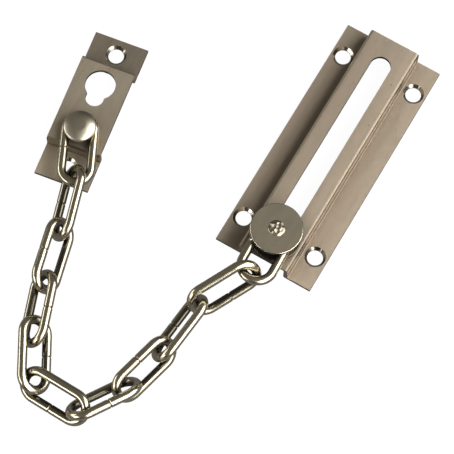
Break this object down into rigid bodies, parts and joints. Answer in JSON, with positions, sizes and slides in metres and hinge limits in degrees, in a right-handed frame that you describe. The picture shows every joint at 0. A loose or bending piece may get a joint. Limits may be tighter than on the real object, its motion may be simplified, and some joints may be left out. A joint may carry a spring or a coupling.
{
  "type": "door chain",
  "caption": "Door chain: slotted track plate with a riveted slider, a chain of oval wire links, and a bridged frame plate with a keyhole and a domed stud.",
  "frame": {"origin": "middle of the track plate's four screw holes, on its back face", "axes": "+Z away from the door, along the four screws; +Y along the slot, away from the end where the slider rests; +X across the plate, away from the frame plate"},
  "size_m": [0.1215, 0.1889, 0.0208],
  "materials": {
    "plate": "satin nickel plate",
    "button": "satin nickel plate",
    "collar": "satin nickel plate",
    "rivet": "peened, nickel plate",
    "stud": "polished nickel plate",
    "chain": "polished nickel plate"
  },
  "bodies": {
    "track": {"track_plate": "plate"},
    "slider": {"slider_button": "button", "slider_collar": "collar", "slider_rivet": "rivet"},
    "link_11": {"link_11": "chain"},
    "link_10": {"link_10": "chain"},
    "link_09": {"link_09": "chain"},
    "link_08": {"link_08": "chain"},
    "link_07": {"link_07": "chain"},
    "link_06": {"link_06": "chain"},
    "link_05": {"link_05": "chain"},
    "link_04": {"link_04": "chain"},
    "link_03": {"link_03": "chain"},
    "link_02": {"link_02": "chain"},
    "link_01": {"link_01": "chain"},
    "frame_side": {"frame_plate": "plate", "link_stud": "stud"}
  },
  "joints": [
    {"name": "slider_travel", "type": "slide", "parent": "track", "child": "slider", "axis": [0, 1, 0], "range_m": [0, 0.0786]},
    {"name": "link_11_swivel", "type": "hinge", "parent": "slider", "child": "link_11", "pos_m": [-0.0003, -0.0401, 0.013], "axis": [0, 0, -1], "range_deg": [-120, 46]},
    {"name": "link_10_hook", "type": "hinge", "parent": "link_11", "child": "link_10", "pos_m": [0.00081, -0.0612, 0.01558], "axis": [-0.8961, 0.3593, -0.2605], "range_deg": [0, 107]},
    {"name": "link_09_hook", "type": "hinge", "parent": "link_10", "child": "link_09", "pos_m": [-0.01126, -0.07508, 0.00932], "axis": [0.5554, -0.1831, 0.8112], "range_deg": [-58, 120]},
    {"name": "link_08_hook", "type": "hinge", "parent": "link_09", "child": "link_08", "pos_m": [-0.01309, -0.09475, 0.00633], "axis": [0.5839, -0.1456, -0.7986], "range_deg": [-58, 120]},
    {"name": "link_07_hook", "type": "hinge", "parent": "link_08", "child": "link_07", "pos_m": [-0.01719, -0.11311, 0.00435], "axis": [0.7274, -0.0197, 0.6859], "range_deg": [-49, 120]},
    {"name": "link_06_hook", "type": "hinge", "parent": "link_07", "child": "link_06", "pos_m": [-0.02589, -0.13209, 0.00944], "axis": [-0.311, 0.768, 0.5599], "range_deg": [-67, 13]},
    {"name": "link_05_hook", "type": "hinge", "parent": "link_06", "child": "link_05", "pos_m": [-0.04593, -0.1337, 0.00449], "axis": [0.5019, 0.5886, -0.6337], "range_deg": [-16, 79]},
    {"name": "link_04_hook", "type": "hinge", "parent": "link_05", "child": "link_04", "pos_m": [-0.06001, -0.11145, 0.00541], "axis": [-0.6536, -0.3774, 0.6561], "range_deg": [-120, 120]},
    {"name": "link_03_hook", "type": "hinge", "parent": "link_04", "child": "link_03", "pos_m": [-0.06564, -0.09499, 0.00657], "axis": [-0.6376, -0.2045, -0.7427], "range_deg": [-120, 120]},
    {"name": "link_02_hook", "type": "hinge", "parent": "link_03", "child": "link_02", "pos_m": [-0.07079, -0.07478, 0.00606], "axis": [0.5849, 0.1423, -0.7985], "range_deg": [-120, 61]},
    {"name": "link_01_hook", "type": "hinge", "parent": "link_02", "child": "link_01", "pos_m": [-0.07693, -0.05505, 0.009], "axis": [0.5643, 0.0669, 0.8229], "range_deg": [-4, 22]},
    {"name": "frame_side_swivel", "type": "hinge", "parent": "link_01", "child": "frame_side", "pos_m": [-0.08427, -0.04076, 0.0069], "axis": [0, 0, 1], "range_deg": [-112, 120]}
  ],
  "couplings": [
    {"joint": "link_10_hook", "follows": "slider_travel", "rad_per_m": 23.469}
  ]
}
